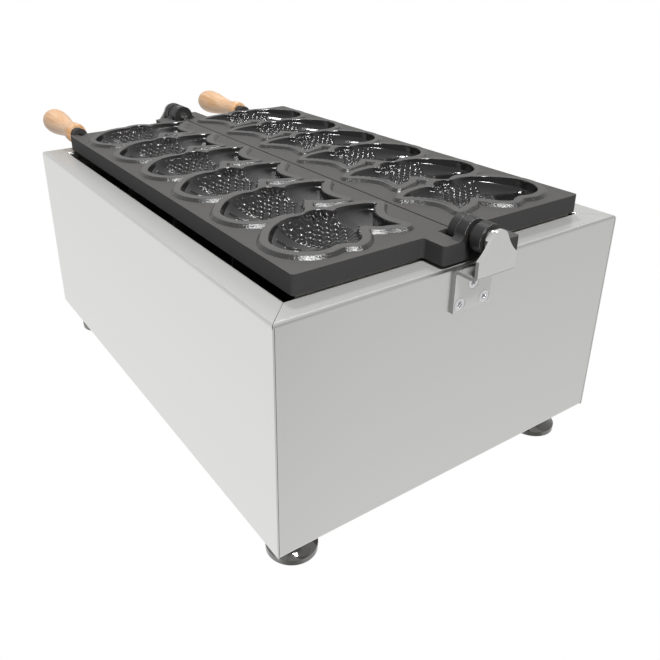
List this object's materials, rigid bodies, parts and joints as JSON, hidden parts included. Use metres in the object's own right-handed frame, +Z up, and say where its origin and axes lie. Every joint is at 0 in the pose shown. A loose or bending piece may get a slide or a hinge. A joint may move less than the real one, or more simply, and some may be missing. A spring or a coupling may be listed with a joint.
{
  "type": "taiyaki maker",
  "caption": "Stainless countertop cooker with two hinged cast plates of fish-shaped moulds, wooden grips, thermostat knobs and bell-shaped feet.",
  "frame": {"origin": "on the plane the feet stand on, under the middle of the outer box", "axes": "+Z up, +Y from the grips and the control panel towards the rear, +X towards the left plate"},
  "size_m": [0.385, 0.669, 0.2729],
  "materials": {
    "case_sheet": "satin stainless sheet",
    "base_sheet": "plain galvanised sheet",
    "chromed_foot": "polished",
    "zinc_fastener": "zinc plated",
    "bright_screw": "polished",
    "inner_sheet": "dull from heat",
    "ceramic": null,
    "heater_tube": "dark oxidised sheath",
    "copper_bulb": "dull copper",
    "thermostat_housing": "moulded phenolic",
    "bright_steel": "bright steel",
    "black_knob": "moulded, matt",
    "chromed_bezel": "polished",
    "green_lens": "clear coloured plastic",
    "red_lens": "clear coloured plastic",
    "black_nylon": "moulded",
    "polished_strip": "polished stainless strip",
    "dark_steel": "dark oxide",
    "cast_plate": "cast, with a grey non-stick coat",
    "turned_wood": "turned, clear lacquer"
  },
  "bodies": {
    "case": {"side_panel_left": "case_sheet", "side_panel_right": "case_sheet", "front_panel": "case_sheet", "rear_panel": "case_sheet", "base_plate": "base_sheet", "base_screws": "zinc_fastener", "foot_front_left": "chromed_foot", "foot_front_right": "chromed_foot", "foot_rear_left": "chromed_foot", "foot_rear_right": "chromed_foot", "foot_nuts": "zinc_fastener", "heat_pan": "inner_sheet", "plate_rest_front": "inner_sheet", "plate_rest_rear": "inner_sheet", "heater_left": "heater_tube", "heater_right": "heater_tube", "heater_clips": "inner_sheet", "heater_insulators": "ceramic", "sensor_left": "copper_bulb", "sensor_right": "copper_bulb", "thermostat_left": "thermostat_housing", "thermostat_right": "thermostat_housing", "thermostat_screws": "zinc_fastener", "lamp_bezels": "chromed_bezel", "lamps_power": "green_lens", "lamps_heat": "red_lens", "terminal_block": "ceramic", "cable_gland": "black_nylon", "gland_nut": "black_nylon", "hinge_bracket_front": "polished_strip", "hinge_bracket_rear": "polished_strip", "bracket_screws": "bright_screw", "bracket_nuts": "zinc_fastener", "hinge_pin_front": "bright_steel", "hinge_pin_rear": "bright_steel", "hinge_spacers": "dark_steel"},
    "left_mould": {"left_plate": "cast_plate", "handle_rod_left": "dark_steel", "grip_left": "turned_wood"},
    "right_mould": {"right_plate": "cast_plate", "handle_rod_right": "dark_steel", "grip_right": "turned_wood"},
    "left_dial": {"knob_shaft_left": "bright_steel", "knob_left": "black_knob"},
    "right_dial": {"knob_shaft_right": "bright_steel", "knob_right": "black_knob"}
  },
  "joints": [
    {"name": "left_plate_hinge", "type": "hinge", "parent": "case", "child": "left_mould", "pos_m": [0.007, 0.0405, 0.2603], "axis": [0, -1, 0], "range_deg": [0, 180]},
    {"name": "right_plate_hinge", "type": "hinge", "parent": "case", "child": "right_mould", "pos_m": [0.007, 0.0405, 0.2603], "axis": [0, 1, 0], "range_deg": [0, 180]},
    {"name": "left_thermostat_turn", "type": "hinge", "parent": "case", "child": "left_dial", "pos_m": [0.102, -0.2295, 0.1223], "axis": [0, 1, 0], "range_deg": [0, 270]},
    {"name": "right_thermostat_turn", "type": "hinge", "parent": "case", "child": "right_dial", "pos_m": [-0.088, -0.2295, 0.1223], "axis": [0, 1, 0], "range_deg": [0, 270]}
  ]
}
